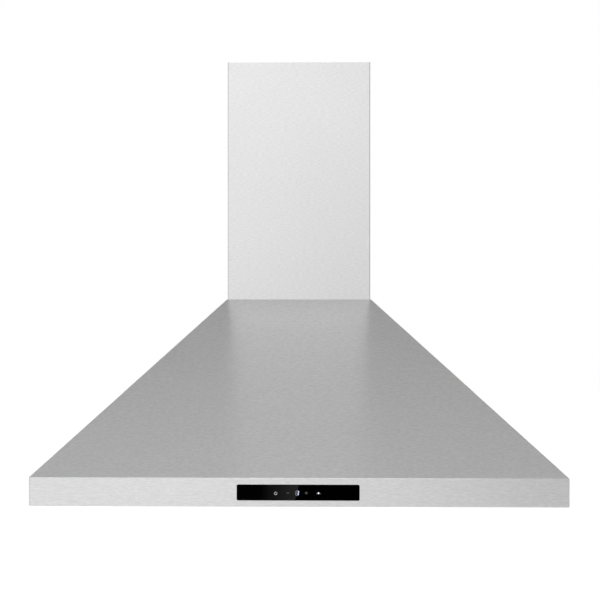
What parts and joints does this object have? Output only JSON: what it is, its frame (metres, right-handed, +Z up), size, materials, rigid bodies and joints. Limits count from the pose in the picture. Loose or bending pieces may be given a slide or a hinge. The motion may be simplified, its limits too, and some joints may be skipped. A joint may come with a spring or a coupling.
{
  "type": "wall-chimney range hood",
  "caption": "Wall-mounted pyramid range hood in brushed stainless steel with a square chimney cover, an upright rim and a black glass touch strip.",
  "frame": {"origin": "on the wall face, at the middle of the underside of the rim", "axes": "+X along the wall to the right as seen from the front, +Y into the wall, +Z up"},
  "size_m": [0.75, 0.5004, 0.683],
  "materials": {
    "brushed_stainless": "brushed along the width",
    "galvanised_sheet": "dull zinc",
    "black_glass": "polished, printed black behind",
    "black_plastic": "fine moulded grain",
    "circuit_board": "solder mask",
    "display_resin": "smooth resin",
    "frosted_lens": "frosted",
    "zinc_screw": "bright zinc",
    "spring_steel": "bright",
    "cast_aluminium": "as cast",
    "motor_enamel": "satin enamel",
    "lamination_steel": "oiled laminations",
    "shaft_steel": "ground",
    "black_rubber": "moulded",
    "grey_sheath": "smooth sheath",
    "white_plastic": "smooth"
  },
  "bodies": {
    "hood": {"back_panel": "galvanised_sheet", "blower_deck": "galvanised_sheet", "bottom_frame": "brushed_stainless", "box_screws": "zinc_screw", "cable_clips": "white_plastic", "canopy_shell": "brushed_stainless", "capacitor": "white_plastic", "chimney_screws": "zinc_screw", "collar_screws": "zinc_screw", "control_board": "circuit_board", "control_box": "black_plastic", "control_box_cover": "black_plastic", "control_cable": "grey_sheath", "control_glass": "black_glass", "control_holder": "black_plastic", "cord_gland": "black_plastic", "deck_screws": "zinc_screw", "display_module": "display_resin", "frame_surround": "brushed_stainless", "lamp_bezel_left": "brushed_stainless", "lamp_bezel_right": "brushed_stainless", "lamp_boards": "circuit_board", "lamp_can_left": "cast_aluminium", "lamp_can_right": "cast_aluminium", "lamp_clips": "spring_steel", "lamp_lead_left": "grey_sheath", "lamp_lead_right": "grey_sheath", "lamp_lens_left": "frosted_lens", "lamp_lens_right": "frosted_lens", "lower_chimney": "brushed_stainless", "motor_bearings": "shaft_steel", "motor_bracket": "galvanised_sheet", "motor_case": "motor_enamel", "motor_end_cap": "cast_aluminium", "motor_grommets": "black_rubber", "motor_lead": "grey_sheath", "motor_screws": "zinc_screw", "outlet_collar": "black_plastic", "panel_screws": "zinc_screw", "power_board": "circuit_board", "scroll_cheek_left": "galvanised_sheet", "scroll_cheek_right": "galvanised_sheet", "scroll_wrap": "galvanised_sheet", "stator": "lamination_steel", "touch_pads": "spring_steel"},
    "impeller": {"impeller": "galvanised_sheet", "rotor": "shaft_steel"},
    "upper_cover": {"upper_chimney": "brushed_stainless", "ceiling_bracket": "galvanised_sheet", "bracket_screws": "zinc_screw"},
    "front_damper": {"damper_flap_front": "black_plastic"},
    "rear_damper": {"damper_flap_rear": "black_plastic"},
    "filter_left": {"filter_frame_left": "brushed_stainless", "filter_baffles_left": "brushed_stainless", "latch_guide_left": "black_plastic"},
    "latch_left": {"latch_bolt_left": "brushed_stainless"},
    "filter_right": {"filter_frame_right": "brushed_stainless", "filter_baffles_right": "brushed_stainless", "latch_guide_right": "black_plastic"},
    "latch_right": {"latch_bolt_right": "brushed_stainless"}
  },
  "joints": [
    {"name": "impeller_spin", "type": "hinge", "parent": "hood", "child": "impeller", "pos_m": [0, -0.134, 0.1663], "axis": [1, 0, 0], "continuous": true},
    {"name": "upper_cover_slide", "type": "slide", "parent": "hood", "child": "upper_cover", "axis": [0, 0, 1], "range_m": [0, 0.33]},
    {"name": "front_damper_hinge", "type": "hinge", "parent": "hood", "child": "front_damper", "pos_m": [0, -0.0956, 0.318], "axis": [-1, 0, 0], "range_deg": [0, 75]},
    {"name": "rear_damper_hinge", "type": "hinge", "parent": "hood", "child": "rear_damper", "pos_m": [0, -0.0856, 0.318], "axis": [1, 0, 0], "range_deg": [0, 75]},
    {"name": "filter_left_tilt", "type": "hinge", "parent": "hood", "child": "filter_left", "pos_m": [-0.179, -0.044, 0.01615], "axis": [1, 0, 0], "range_deg": [0, 60]},
    {"name": "latch_left_slide", "type": "slide", "parent": "filter_left", "child": "latch_left", "axis": [0, -1, 0], "range_m": [0, 0.0065]},
    {"name": "filter_right_tilt", "type": "hinge", "parent": "hood", "child": "filter_right", "pos_m": [0.179, -0.044, 0.01615], "axis": [1, 0, 0], "range_deg": [0, 60]},
    {"name": "latch_right_slide", "type": "slide", "parent": "filter_right", "child": "latch_right", "axis": [0, -1, 0], "range_m": [0, 0.0065]}
  ]
}
